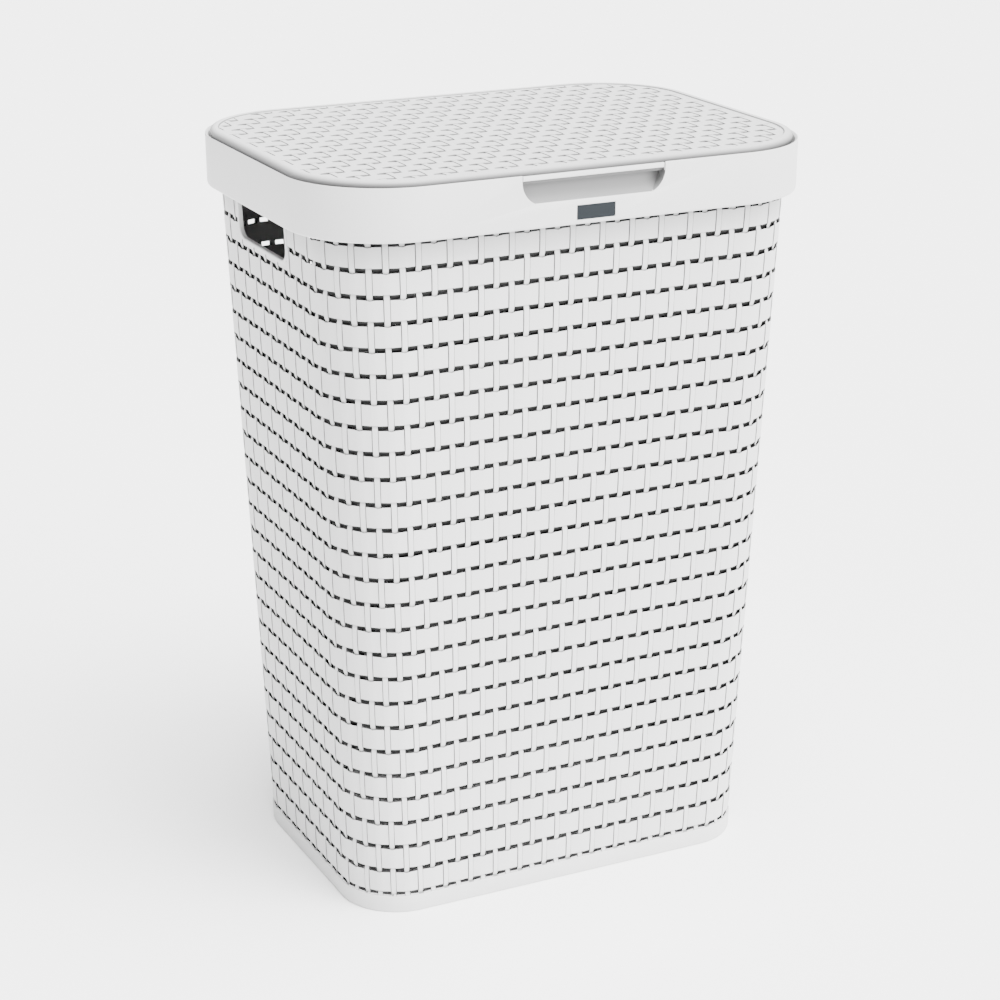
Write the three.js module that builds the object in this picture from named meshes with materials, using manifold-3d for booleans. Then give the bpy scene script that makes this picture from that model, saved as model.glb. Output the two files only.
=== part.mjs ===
// A laundry hamper with a hinged lid, moulded in white polypropylene.
// Millimetres. +Z is up, the origin is at the bottom centre, +X runs along the long side
// and the front, where the finger scoop is, faces -Y.
import * as THREE from 'three';
import { mergeVertices } from 'three/addons/utils/BufferGeometryUtils.js';
import Module from 'manifold-3d';

const wasm = await Module();
wasm.setup();

// ---------------------------------------------------------------- driving dimensions

const FIT_GAP = 0.3;
const EDGE_BEVEL = 0.8;
const CUT_PAST = 1;
const CLEAR_ABOVE = 10;

// The woven wall widens evenly with height: half sizes and corner radius at the floor line,
// and how much each of them grows per millimetre of height.
const WALL = { halfX: 174.8, halfY: 118.6, radius: 47.6 };
const WALL_DRAFT = 0.0392;
const WALL_RADIUS_GROWTH = 0.014;
const WALL_THICKNESS = 2.4;

const PLINTH_HEIGHT = 14.3;
const PLINTH_PROUD = 1.2;
const FOOT_WIDTH = 6;
const FLOOR_UNDERSIDE = 4;
const FLOOR_TOP = 6.5;

const COLLAR = { halfX: 210, halfY: 153.8, radius: 76.5 };
const COLLAR_BOTTOM = 550.8;
const COLLAR_TOP = 591;
const COLLAR_DRAFT = 0.3;
const COLLAR_WALL = 2.4;
const COLLAR_LOWER_EDGE = { height: 3, depth: 2.1, steps: 4 };
const LEDGE_TOP = 583.6;
const LEDGE_THICKNESS = 2.4;
const LEDGE_INSET = 18.6;
const SKIRT_BOTTOM = 572;
const SKIRT_THICKNESS = 2;

const RIM_FLANGE_THICKNESS = 2.5;
const RIM_FLANGE_OVERHANG = 6;

const LID = { halfX: 206.1, halfY: 149.9, radius: 78 };
const LID_TOP = 594.3;
const LID_ROLL_RADIUS = 6;
const LID_SKIRT = 2;
const LID_PANEL = 2.3;
const LID_ROLL_STEPS = 5;

const SCOOP_HALF_WIDTH = 57.5;
const SCOOP_BOTTOM = 569.5;
const SCOOP_CORNER = 18;
const SCOOP_HOLLOW_RADIUS = 12.6;
const SCOOP_DEEPEST = 10.2;
const SCOOP_BACKING = { thickness: 1.6, beside: 2, below: 3 };

const FLAP = {
  halfWidth: 56.6,
  bottom: 585,
  top: 591.6,
  setBack: 0.4,
  thickness: 2.2,
  webDepth: 3.4,
  rearEdge: { height: 1.6, slope: 0.4 },
  frontBevel: 0.6,
};

const LABEL = { x: 3, z: 559.8, width: 31.4, height: 10.4, corner: 1, thickness: 0.8, setBack: 0.05 };

const HAND_HOLE = { y: 10, bottom: 517, height: 37, halfWidth: 48, corner: 10 };
const HAND_RIM_BORDER = 3.5;
const HAND_RIM_PROUD = 1;

const HINGE = { y: 147, z: 588.5, x: 110 };
const PIN_RADIUS = 1.5;
const PIN_LENGTH = 30;
const LUG_WIDTH = 15;
const LUG_RADIUS = 3.1;
const BOSS = { width: 7, reach: 3.6, above: 0.4, below: 1.8, behind: 1 };
const REAR_CUT = { halfWidth: 172, bottom: 585, corner: 4 };
const REAR_CHANNEL = { front: 140, floor: 582.4 };

const SNAP = { width: 20, height: 7, reach: 5.4, rootReach: 1, tipHeight: 2, x: 90 };

const CORNER_STEPS = 10;
const SHAPE_CURVE_STEPS = 8;
const PROFILE_CURVE_STEPS = 12;
const BAR_SIDES = 20;
const MERGE_TOLERANCE = 1e-4;

const WHITE = 0xe6e6e6;
const LABEL_GREY_BLUE = 0x4a5563;
const SATIN = 0.45;

// ---------------------------------------------------------------- outlines and solids

/** A rounded rectangle of the given size, grown outward by some distance, at height z. */
function section(size, outward, z) {
  return {
    halfX: size.halfX + outward,
    halfY: size.halfY + outward,
    radius: size.radius + outward,
    z,
  };
}

/** The outer face of the woven wall at height z, grown outward by some distance. */
function wallSection(z, outward = 0) {
  return {
    halfX: WALL.halfX + WALL_DRAFT * z + outward,
    halfY: WALL.halfY + WALL_DRAFT * z + outward,
    radius: WALL.radius + WALL_RADIUS_GROWTH * z + outward,
    z,
  };
}

/** Points of a section, anticlockwise from above, with every corner an arc. */
function sectionPoints({ halfX, halfY, radius, z }) {
  const points = [];
  for (let corner = 0; corner < 4; corner += 1) {
    const sideX = corner === 0 || corner === 3 ? 1 : -1;
    const sideY = corner < 2 ? 1 : -1;
    for (let step = 0; step <= CORNER_STEPS; step += 1) {
      const angle = (corner + step / CORNER_STEPS) * (Math.PI / 2);
      points.push(
        new THREE.Vector3(
          sideX * (halfX - radius) + radius * Math.cos(angle),
          sideY * (halfY - radius) + radius * Math.sin(angle),
          z,
        ),
      );
    }
  }
  return points;
}

/**
 * Skins a list of sections in order. A ring's last section joins its first; otherwise both
 * ends are capped.
 */
function skin(sections, isRing) {
  const rings = sections.map(sectionPoints);
  const count = rings[0].length;
  const index = [];
  const spans = isRing ? rings.length : rings.length - 1;
  for (let span = 0; span < spans; span += 1) {
    const here = span * count;
    const next = ((span + 1) % rings.length) * count;
    for (let i = 0; i < count; i += 1) {
      const j = (i + 1) % count;
      index.push(here + i, here + j, next + j, here + i, next + j, next + i);
    }
  }
  if (!isRing) {
    const lastRing = (rings.length - 1) * count;
    for (let i = 1; i < count - 1; i += 1) {
      index.push(0, i + 1, i);
      index.push(lastRing, lastRing + i, lastRing + i + 1);
    }
  }
  const geometry = new THREE.BufferGeometry().setFromPoints(rings.flat());
  geometry.setIndex(index);
  return geometry;
}

/** A shape in X and Z, extruded along +Y from y to y + depth. */
function extrudeAlongY(shape, y, depth) {
  const geometry = new THREE.ExtrudeGeometry(shape, {
    depth,
    bevelEnabled: false,
    curveSegments: SHAPE_CURVE_STEPS,
  });
  geometry.rotateX(Math.PI / 2);
  geometry.translate(0, y + depth, 0);
  return geometry;
}

/** A shape in Y and Z, extruded along +X from x to x + width. */
function extrudeAlongX(shape, x, width) {
  const geometry = new THREE.ExtrudeGeometry(shape, {
    depth: width,
    bevelEnabled: false,
    curveSegments: PROFILE_CURVE_STEPS,
  });
  geometry.rotateZ(Math.PI / 2);
  geometry.rotateY(Math.PI / 2);
  geometry.translate(x, 0, 0);
  return geometry;
}

/** A rounded rectangle as a shape, from its lowest and highest corner. */
function roundedShape(low, high, radius) {
  const shape = new THREE.Shape();
  shape.absarc(high[0] - radius, high[1] - radius, radius, 0, Math.PI / 2);
  shape.absarc(low[0] + radius, high[1] - radius, radius, Math.PI / 2, Math.PI);
  shape.absarc(low[0] + radius, low[1] + radius, radius, Math.PI, Math.PI * 1.5);
  shape.absarc(high[0] - radius, low[1] + radius, radius, Math.PI * 1.5, Math.PI * 2);
  shape.closePath();
  return shape;
}

/** A closed shape through points given as pairs. */
function polygon(pairs) {
  return new THREE.Shape(pairs.map(([a, b]) => new THREE.Vector2(a, b)));
}

/** A box from its lowest and highest corner. */
function boxBetween(low, high) {
  const size = high.map((value, axis) => value - low[axis]);
  const geometry = new THREE.BoxGeometry(...size);
  geometry.translate(...low.map((value, axis) => value + size[axis] / 2));
  return geometry;
}

/** A round bar along X. */
function barAlongX({ x, y, z, radius, length }) {
  const geometry = new THREE.CylinderGeometry(radius, radius, length, BAR_SIDES);
  geometry.rotateZ(Math.PI / 2);
  geometry.translate(x, y, z);
  return geometry;
}

function toSolid(geometry) {
  const bare = geometry.clone();
  bare.deleteAttribute('normal');
  bare.deleteAttribute('uv');
  const merged = mergeVertices(bare, MERGE_TOLERANCE);
  return new wasm.Manifold(
    new wasm.Mesh({
      numProp: 3,
      vertProperties: new Float32Array(merged.attributes.position.array),
      triVerts: new Uint32Array(merged.index.array),
    }),
  );
}

function toGeometry(solid) {
  const mesh = solid.getMesh();
  const geometry = new THREE.BufferGeometry();
  geometry.setAttribute('position', new THREE.BufferAttribute(new Float32Array(mesh.vertProperties), 3));
  geometry.setIndex(Array.from(mesh.triVerts));
  return geometry;
}

function join(geometry, ...others) {
  return toGeometry(others.reduce((solid, other) => solid.add(toSolid(other)), toSolid(geometry)));
}

function cut(geometry, ...others) {
  return toGeometry(others.reduce((solid, other) => solid.subtract(toSolid(other)), toSolid(geometry)));
}

function common(geometry, other) {
  return toGeometry(toSolid(geometry).intersect(toSolid(other)));
}

// ---------------------------------------------------------------- hand holes

const draftAngle = Math.atan(WALL_DRAFT);

/** Puts a shape of Y and Z sizes on the wall's short side, as a plate that grows outward from the wall. */
function onShortSide(shape, side, inward, outward) {
  const geometry = new THREE.ExtrudeGeometry(shape, {
    depth: inward + outward,
    bevelEnabled: false,
    curveSegments: SHAPE_CURVE_STEPS,
  });
  geometry.translate(0, 0, -inward);
  geometry.rotateZ(Math.PI / 2);
  geometry.rotateY(Math.PI / 2);
  geometry.rotateY(draftAngle);
  geometry.translate(wallSection(HAND_HOLE.bottom).halfX, 0, HAND_HOLE.bottom);
  if (side < 0) {
    geometry.rotateZ(Math.PI);
  }
  return geometry;
}

/** The hand hole's outline grown by some distance, measured along Y and up from the hole's lower edge. */
function handHoleShape(grown, side) {
  const middle = side * HAND_HOLE.y;
  return roundedShape(
    [middle - HAND_HOLE.halfWidth - grown, -grown],
    [middle + HAND_HOLE.halfWidth + grown, HAND_HOLE.height + grown],
    HAND_HOLE.corner + grown,
  );
}

/** The smooth raised border that lines one hand hole. */
function handHoleRim(side) {
  const plate = onShortSide(handHoleShape(HAND_RIM_BORDER, side), side, WALL_THICKNESS, HAND_RIM_PROUD);
  const hole = onShortSide(handHoleShape(0, side), side, WALL_THICKNESS * 3, HAND_RIM_PROUD * 4);
  return cut(plate, hole);
}

// ---------------------------------------------------------------- the basket

/** The tapered wall, open at both ends, with a flange round its upper rim. */
function basketShell() {
  const top = LEDGE_TOP - LEDGE_THICKNESS - FIT_GAP;
  const flangeUnderside = top - RIM_FLANGE_THICKNESS;
  const bottom = PLINTH_HEIGHT + FIT_GAP;
  const wall = skin(
    [
      wallSection(bottom),
      wallSection(flangeUnderside),
      wallSection(flangeUnderside, RIM_FLANGE_OVERHANG),
      { ...wallSection(flangeUnderside, RIM_FLANGE_OVERHANG), z: top },
      wallSection(top, -WALL_THICKNESS),
      wallSection(bottom, -WALL_THICKNESS),
    ],
    true,
  );
  const holes = [-1, 1].map((side) =>
    onShortSide(handHoleShape(HAND_RIM_BORDER + FIT_GAP, side), side, WALL_THICKNESS * 3, HAND_RIM_PROUD * 4),
  );
  const pocketWidth = SCOOP_HALF_WIDTH + SCOOP_CORNER / 2;
  const roomForPocket = boxBetween(
    [-pocketWidth, -COLLAR.halfY, flangeUnderside - CUT_PAST],
    [pocketWidth, -wallSection(top).halfY - FIT_GAP, top + CUT_PAST],
  );
  return cut(wall, ...holes, roomForPocket);
}

/** The floor with the smooth plinth band round it. It stands on the band's foot. */
function baseTray() {
  return skin(
    [
      wallSection(FLOOR_UNDERSIDE, PLINTH_PROUD - FOOT_WIDTH),
      wallSection(0, PLINTH_PROUD - FOOT_WIDTH),
      wallSection(0, PLINTH_PROUD - EDGE_BEVEL),
      wallSection(EDGE_BEVEL, PLINTH_PROUD),
      wallSection(PLINTH_HEIGHT - EDGE_BEVEL, PLINTH_PROUD),
      wallSection(PLINTH_HEIGHT, PLINTH_PROUD - EDGE_BEVEL),
      wallSection(PLINTH_HEIGHT, -WALL_THICKNESS),
      wallSection(FLOOR_TOP, -WALL_THICKNESS),
    ],
    false,
  );
}

// ---------------------------------------------------------------- the collar

/** The collar's section, from its outer lower edge round to its inner face. */
function collarRing() {
  const sections = [];
  const edge = COLLAR_LOWER_EDGE;
  for (let step = 0; step <= edge.steps; step += 1) {
    const angle = (step / edge.steps) * (Math.PI / 2);
    const inward = edge.depth * (1 - Math.sin(angle)) + COLLAR_DRAFT;
    sections.push(section(COLLAR, -inward, COLLAR_BOTTOM + edge.height * (1 - Math.cos(angle))));
  }
  sections.push(
    section(COLLAR, 0, COLLAR_TOP - EDGE_BEVEL),
    section(COLLAR, -EDGE_BEVEL, COLLAR_TOP),
    section(COLLAR, -COLLAR_WALL, COLLAR_TOP),
    section(COLLAR, -COLLAR_WALL, LEDGE_TOP),
    section(COLLAR, -LEDGE_INSET, LEDGE_TOP),
    section(COLLAR, -LEDGE_INSET, SKIRT_BOTTOM),
    section(COLLAR, -LEDGE_INSET + SKIRT_THICKNESS, SKIRT_BOTTOM),
    section(COLLAR, -LEDGE_INSET + SKIRT_THICKNESS, LEDGE_TOP - LEDGE_THICKNESS),
    section(COLLAR, -COLLAR_WALL - COLLAR_DRAFT, LEDGE_TOP - LEDGE_THICKNESS),
    section(COLLAR, -COLLAR_WALL - COLLAR_DRAFT, COLLAR_BOTTOM),
  );
  return skin(sections, true);
}

/** The hollow that the fingers reach into, as a solid to cut away: U-shaped in front, round in section. */
function scoopHollow() {
  const deepest = -COLLAR.halfY + SCOOP_DEEPEST;
  const inFront = SCOOP_HOLLOW_RADIUS - SCOOP_DEEPEST;
  const middle = [-COLLAR.halfY - inFront, SCOOP_BOTTOM + Math.sqrt(SCOOP_HOLLOW_RADIUS ** 2 - inFront ** 2)];
  const above = COLLAR_TOP + CLEAR_ABOVE;
  const front = -COLLAR.halfY - SCOOP_HOLLOW_RADIUS;
  const side = new THREE.Shape();
  side.moveTo(front, middle[1]);
  side.absarc(middle[0], middle[1], SCOOP_HOLLOW_RADIUS, Math.PI, Math.PI * 2);
  side.lineTo(deepest, above);
  side.lineTo(front, above);
  side.closePath();
  const face = roundedShape(
    [-SCOOP_HALF_WIDTH, SCOOP_BOTTOM - CUT_PAST],
    [SCOOP_HALF_WIDTH, above + SCOOP_CORNER],
    SCOOP_CORNER,
  );
  const reach = SCOOP_HALF_WIDTH + CUT_PAST;
  return common(extrudeAlongX(side, -reach, reach * 2), extrudeAlongY(face, front - CUT_PAST, -front));
}

/**
 * The collar: band, ledge, skirt and the finger scoop. Its rear wall is cut down and its rear ledge
 * has a shallow channel, so that the lid's rear edge can swing.
 */
function collarFrame() {
  const backing = boxBetween(
    [
      -SCOOP_HALF_WIDTH - SCOOP_BACKING.beside,
      -COLLAR.halfY + COLLAR_WALL / 2,
      SCOOP_BOTTOM - SCOOP_BACKING.below,
    ],
    [
      SCOOP_HALF_WIDTH + SCOOP_BACKING.beside,
      -COLLAR.halfY + SCOOP_DEEPEST + SCOOP_BACKING.thickness,
      LEDGE_TOP,
    ],
  );
  const rearCut = extrudeAlongY(
    roundedShape(
      [-REAR_CUT.halfWidth, REAR_CUT.bottom],
      [REAR_CUT.halfWidth, COLLAR_TOP + CLEAR_ABOVE],
      REAR_CUT.corner,
    ),
    COLLAR.halfY - COLLAR.radius / 2,
    COLLAR.radius,
  );
  const rearChannel = common(
    boxBetween(
      [-REAR_CUT.halfWidth, REAR_CHANNEL.front, REAR_CHANNEL.floor],
      [REAR_CUT.halfWidth, COLLAR.halfY, COLLAR_TOP],
    ),
    skin([SKIRT_BOTTOM, COLLAR_TOP + CUT_PAST].map((z) => section(COLLAR, -COLLAR_WALL, z)), false),
  );
  const face = labelFace();
  const labelRecess = boxBetween(
    [
      LABEL.x - LABEL.width / 2 - FIT_GAP,
      face - CUT_PAST,
      LABEL.z - LABEL.height / 2 - FIT_GAP,
    ],
    [
      LABEL.x + LABEL.width / 2 + FIT_GAP,
      face + LABEL.thickness + FIT_GAP,
      LABEL.z + LABEL.height / 2 + FIT_GAP,
    ],
  );
  return cut(join(collarRing(), backing), scoopHollow(), rearCut, rearChannel, labelRecess);
}

/** Where the label's face lies, just behind the collar's foremost line. */
function labelFace() {
  return -COLLAR.halfY + LABEL.setBack;
}

function labelPlate() {
  const shape = roundedShape(
    [LABEL.x - LABEL.width / 2, LABEL.z - LABEL.height / 2],
    [LABEL.x + LABEL.width / 2, LABEL.z + LABEL.height / 2],
    LABEL.corner,
  );
  return extrudeAlongY(shape, labelFace(), LABEL.thickness);
}

/** A hook inside the collar's front or rear wall that holds it down under the rim flange. */
function collarSnap() {
  const flangeUnderside = LEDGE_TOP - LEDGE_THICKNESS - FIT_GAP - RIM_FLANGE_THICKNESS;
  const top = flangeUnderside - FIT_GAP;
  const wedge = polygon([
    [0, top],
    [0, top - SNAP.height],
    [SNAP.rootReach, top - SNAP.height],
    [SNAP.reach, top - SNAP.tipHeight],
    [SNAP.reach, top],
  ]);
  return extrudeAlongX(wedge, -SNAP.width / 2, SNAP.width);
}

/** A lug that stands in the rear ledge's channel: an eye for the hinge pin on a stem under its front half. */
function hingeLug() {
  const base = REAR_CHANNEL.floor + FIT_GAP;
  const outline = new THREE.Shape();
  outline.moveTo(HINGE.y - LUG_RADIUS, base);
  outline.lineTo(HINGE.y, base);
  outline.absarc(HINGE.y, HINGE.z, LUG_RADIUS, -Math.PI / 2, Math.PI);
  outline.closePath();
  const bore = new THREE.Path();
  bore.absarc(HINGE.y, HINGE.z, PIN_RADIUS + FIT_GAP, 0, Math.PI * 2);
  outline.holes.push(bore);
  return extrudeAlongX(outline, -LUG_WIDTH / 2, LUG_WIDTH);
}

function hingePin() {
  return barAlongX({ x: 0, y: HINGE.y, z: HINGE.z, radius: PIN_RADIUS, length: PIN_LENGTH });
}

// ---------------------------------------------------------------- the lid

const LID_SKIRT_BOTTOM = LEDGE_TOP + FIT_GAP;

/** The lid's panel with its rolled edge and the skirt under it, open below. */
function lidTray() {
  const sections = [
    section(LID, -LID_SKIRT, LID_TOP - LID_PANEL),
    section(LID, -LID_SKIRT, LID_SKIRT_BOTTOM),
    section(LID, 0, LID_SKIRT_BOTTOM),
  ];
  for (let step = 0; step <= LID_ROLL_STEPS; step += 1) {
    const angle = (step / LID_ROLL_STEPS) * (Math.PI / 2);
    const inward = LID_ROLL_RADIUS * (1 - Math.cos(angle));
    const drop = LID_ROLL_RADIUS * (1 - Math.sin(angle));
    sections.push(section(LID, -inward, LID_TOP - drop));
  }
  return skin(sections, false);
}

/** The lid with its hinge bosses, with a pocket under its rear edge for each lug and bores for the pins. */
function lidPanel() {
  const pocketReach = LUG_WIDTH / 2 + FIT_GAP * 2;
  const bossReach = pocketReach + BOSS.width;
  const bosses = [];
  const pockets = [];
  const bores = [];
  for (const x of [-HINGE.x, HINGE.x]) {
    bosses.push(
      boxBetween(
        [x - bossReach, HINGE.y - BOSS.reach, LID_SKIRT_BOTTOM + BOSS.above],
        [x + bossReach, LID.halfY - BOSS.behind, LID_TOP - BOSS.below],
      ),
    );
    pockets.push(
      boxBetween(
        [x - pocketReach, HINGE.y - LUG_RADIUS - CUT_PAST, LID_SKIRT_BOTTOM - CUT_PAST],
        [x + pocketReach, LID.halfY + CUT_PAST, HINGE.z + LUG_RADIUS + FIT_GAP],
      ),
    );
    bores.push(
      barAlongX({
        x,
        y: HINGE.y,
        z: HINGE.z,
        radius: PIN_RADIUS + FIT_GAP,
        length: PIN_LENGTH + FIT_GAP * 2,
      }),
    );
  }
  return cut(join(lidTray(), ...bosses), ...pockets, ...bores);
}

/** The flap that hangs in front of the lid's skirt, level with the collar's face. */
function lidGripFlap() {
  const face = -COLLAR.halfY + FLAP.setBack;
  const back = face + FLAP.thickness;
  const skirtFace = -LID.halfY - FIT_GAP;
  const webBottom = FLAP.top - FLAP.webDepth;
  const outline = polygon([
    [face, FLAP.bottom],
    [back, FLAP.bottom],
    [back, webBottom],
    [skirtFace, webBottom],
    [skirtFace, FLAP.top - FLAP.rearEdge.height],
    [skirtFace + FLAP.rearEdge.slope, FLAP.top],
    [face + FLAP.frontBevel, FLAP.top],
    [face, FLAP.top - FLAP.frontBevel],
  ]);
  return extrudeAlongX(outline, -FLAP.halfWidth, FLAP.halfWidth * 2);
}

// ---------------------------------------------------------------- the assembly

const hamper = new THREE.Group();

function addPiece(parent, name, geometry, color = WHITE) {
  const material = new THREE.MeshStandardMaterial({ color, roughness: SATIN, metalness: 0 });
  const mesh = new THREE.Mesh(geometry, material);
  mesh.name = name;
  parent.add(mesh);
  return mesh;
}

const basket = new THREE.Group();
const lid = new THREE.Group();
hamper.add(basket, lid);

addPiece(basket, 'basket_shell', basketShell());
addPiece(basket, 'base_tray', baseTray());
addPiece(basket, 'collar_frame', collarFrame());
addPiece(basket, 'label_plate', labelPlate(), LABEL_GREY_BLUE);

for (const [name, side] of [['left', -1], ['right', 1]]) {
  addPiece(basket, `hand_hole_rim_${name}`, handHoleRim(side));
  addPiece(basket, `hinge_lug_${name}`, hingeLug()).position.x = side * HINGE.x;
  addPiece(lid, `hinge_pin_${name}`, hingePin()).position.x = side * HINGE.x;
}

// Hooks on the long walls sit to either side of the middle; one more is on each short wall.
const snapWall = COLLAR_WALL + COLLAR_DRAFT + FIT_GAP;
const SNAP_PLACES = [
  ['front_left', -SNAP.x, -COLLAR.halfY + snapWall, 0],
  ['front_right', SNAP.x, -COLLAR.halfY + snapWall, 0],
  ['rear_left', -SNAP.x, COLLAR.halfY - snapWall, Math.PI],
  ['rear_right', SNAP.x, COLLAR.halfY - snapWall, Math.PI],
  ['side_left', -COLLAR.halfX + snapWall, 0, -Math.PI / 2],
  ['side_right', COLLAR.halfX - snapWall, 0, Math.PI / 2],
];
for (const [name, x, y, turn] of SNAP_PLACES) {
  const snap = addPiece(basket, `collar_snap_${name}`, collarSnap());
  snap.position.set(x, y, 0);
  snap.rotation.z = turn;
}

addPiece(lid, 'lid_panel', lidPanel());
addPiece(lid, 'lid_grip_flap', lidGripFlap());

export default hamper;
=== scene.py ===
"""A white laundry hamper with a hinged lid: woven wall, smooth collar, and a lid with a woven relief.

Sizes are in millimetres and become metres when a mesh is made. Z is up and the front faces -Y.
"""
import math

import bmesh
import bpy
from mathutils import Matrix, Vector


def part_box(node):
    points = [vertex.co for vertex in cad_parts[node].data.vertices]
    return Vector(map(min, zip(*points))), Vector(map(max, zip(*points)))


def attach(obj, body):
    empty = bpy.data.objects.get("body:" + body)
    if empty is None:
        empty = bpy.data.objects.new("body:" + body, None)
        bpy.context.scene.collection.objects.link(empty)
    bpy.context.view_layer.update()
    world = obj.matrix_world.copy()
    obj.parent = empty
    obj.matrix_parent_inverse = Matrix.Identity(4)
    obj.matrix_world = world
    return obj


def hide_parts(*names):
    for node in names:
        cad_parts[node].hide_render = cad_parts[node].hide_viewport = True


MM = 0.001

# ---------------------------------------------------------------- camera

CAMERA_AZIMUTH = math.radians(-26.18)
CAMERA_ELEVATION = math.radians(19.42)
CAMERA_DISTANCE = 2.041
CAMERA_TARGET = Vector((0.0, 0.0, 0.2875))
CAMERA_LENS = 89.76
CAMERA_SENSOR = 36.0


def add_camera():
    """The camera stands to the front left, looking slightly down at the hamper's middle."""
    data = bpy.data.cameras.new("camera")
    data.lens = CAMERA_LENS
    data.sensor_width = CAMERA_SENSOR
    camera = bpy.data.objects.new("camera", data)
    bpy.context.scene.collection.objects.link(camera)
    level = math.cos(CAMERA_ELEVATION)
    away = Vector(
        (
            level * math.sin(CAMERA_AZIMUTH),
            -level * math.cos(CAMERA_AZIMUTH),
            math.sin(CAMERA_ELEVATION),
        )
    )
    camera.location = CAMERA_TARGET + away * CAMERA_DISTANCE
    camera.rotation_euler = away.to_track_quat("Z", "Y").to_euler()
    bpy.context.scene.camera = camera


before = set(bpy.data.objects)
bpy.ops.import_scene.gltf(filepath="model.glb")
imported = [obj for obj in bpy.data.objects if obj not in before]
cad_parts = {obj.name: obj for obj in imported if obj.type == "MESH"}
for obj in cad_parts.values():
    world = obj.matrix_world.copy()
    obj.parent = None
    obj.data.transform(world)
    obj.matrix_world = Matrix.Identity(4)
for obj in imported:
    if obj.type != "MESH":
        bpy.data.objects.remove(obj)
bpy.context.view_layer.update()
add_camera()

# ---------------------------------------------------------------- driving sizes, in millimetres

CORNER_STEPS = 24
SMOOTH_ANGLE = 35.0
# How far a cutting tool reaches past what it cuts
TOOL_MARGIN = 6.0

# The woven wall's outside at the floor, and its growth for each millimetre of height
WALL_HALF = (174.8, 118.6)
WALL_RADIUS = 47.6
WALL_DRAFT = 0.0392
WALL_RADIUS_GROWTH = 0.014
WALL_THICKNESS = 2.4
WALL_BOTTOM = 14.4
WALL_TOP = 580.9
FLANGE_UNDERSIDE = 578.4
FLANGE_REACH = 6.0

# The upright stakes. Their widths and places are shares of the pitch from one stake to the next.
COLUMNS = 100
STAKE_PITCH = 12.0
FIRST_STAKE = 0.288
STAKE_HALF = 0.215
LEFT_GROOVE = 0.055
RIGHT_GROOVE = 0.042
GROOVE_DEPTH = 1.1
RELIEF = 0.35
INNER_RELIEF = 0.2
CELL_SAG = 0.5

# The rows of slots between the wefts
ROWS = 27
FIRST_ROW = 16.5
ROW_PITCH = 21.16
ROW_TIGHTENING = 0.0276
SLOT_HEIGHT = 3.9
SLOT_STEP = 0.3
SLOT_FLARE = 1.3
SLOT_DROP = 3.2
LOWEST_SLOT_RAISE = 1.0
LOWEST_SLOT_SILL = 0.2
LOWEST_SLOT_HEAD = 0.9
OPEN_ROWS = (22, 23, 24)
OPEN_TO_X = -80.0

# The hand holes in the short sides
HOLE_Y = 10.0
HOLE_BOTTOM = 517.0
HOLE_HEIGHT = 37.0
HOLE_HALF_WIDTH = 48.0
HOLE_CORNER = 10.0
HOLE_BORDER = 3.5
HOLE_BORDER_PROUD = 1.0
HOLE_BORDER_OVERLAP = 1.2

PLINTH_TOP = 14.3
PLINTH_PROUD = 1.2

COLLAR_HALF = (210.0, 153.8)
COLLAR_RADIUS = 76.5
COLLAR_BOTTOM = 550.8
COLLAR_TOP = 591.0
COLLAR_WALL = 2.4
COLLAR_DRAFT = 0.3
COLLAR_FOOT_HEIGHT = 2.4
COLLAR_FOOT_INWARD = 1.92
COLLAR_FOOT_STEPS = 6
LIP_FALL = 1.2
LEDGE_TOP = 583.6
LEDGE_THICKNESS = 2.4
LEDGE_INSET = 18.6
SKIRT_BOTTOM = 572.0
SKIRT_THICKNESS = 2.0
LABEL_GAP = 0.3

# The low stretch of the collar's rear wall, and the channel in the ledge along it
REAR_CUT_HALF = 172.0
REAR_CUT_BOTTOM = 583.9
REAR_CUT_DEPTH = 38.0
REAR_CUT_CORNER = 4.0
CHANNEL_FRONT = 140.0
CHANNEL_BOTTOM = 582.4

# The finger scoop in the collar's front
SCOOP_X = 1.4
SCOOP_HALF_WIDTH = 59.0
SCOOP_BOTTOM = 569.5
SCOOP_CORNER = 18.0
SCOOP_RADIUS = 12.6
SCOOP_DEEPEST = 10.2
SCOOP_LIP = 1.2
SCOOP_LIP_STEPS = 8
SCOOP_HOLLOW_STEPS = 16
SCOOP_TOOL_AHEAD = 10.0
SCOOP_TOOL_DEPTH = 40.0
SCOOP_BACKING = 1.6
SCOOP_BACKING_SIDE = 2.0
SCOOP_BACKING_BELOW = 3.0
SCOOP_NOTCH_GAP = 1.0
SCOOP_NOTCH_GAP_BEHIND = 0.2

LID_HALF = (206.1, 149.9)
LID_RADIUS = 75.4
LID_TOP = 594.3
LID_ROLL = 6.0
LID_ROLL_STEPS = 10
LID_SKIRT = 2.0
LID_SKIRT_BOTTOM = 583.9
LID_PANEL = 2.3

# The lid's rolled edge. Its crest is (distance inside the lid's outline, height).
RIM_REACH = 0.8
RIM_TURN = 591.9
RIM_ROOT = 589.2
RIM_CREST = (3.4, 595.3)
RIM_INNER = 6.8
RIM_SINK = 0.15
RIM_FALL_START = 0.55
RIM_UNDER_STEPS = 6
RIM_OVER_STEPS = 12

# The lid's woven relief, fading in between two distances inside the lid's outline
LID_SMOOTH_TO = 4.0
LID_WOVEN_FROM = 8.0
LID_COLUMN = 12.08
LID_FIRST_COLUMN = -0.06
LID_SIDE_COLUMNS = 17
LID_ROW = 18.11
LID_FIRST_ROW = 11.3
LID_FRONT_BAND = -9
LID_REAR_BAND = 7
LID_FRONT_SHARE = 0.5
LID_RELIEF = 0.28
LID_FLAT_ABOVE = 0.6
LID_TOOL_GAP = 0.03
LID_STEP = 0.15
LID_GROOVE = -2.6
LID_POCKET_START = 0.7
LID_POCKET_DEPTH = 1.9
LID_POCKET_LENGTH = 4.8
LID_POCKET_SIDE = 0.01
RELIEF_TOOL_HEIGHT = 8.0

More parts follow.
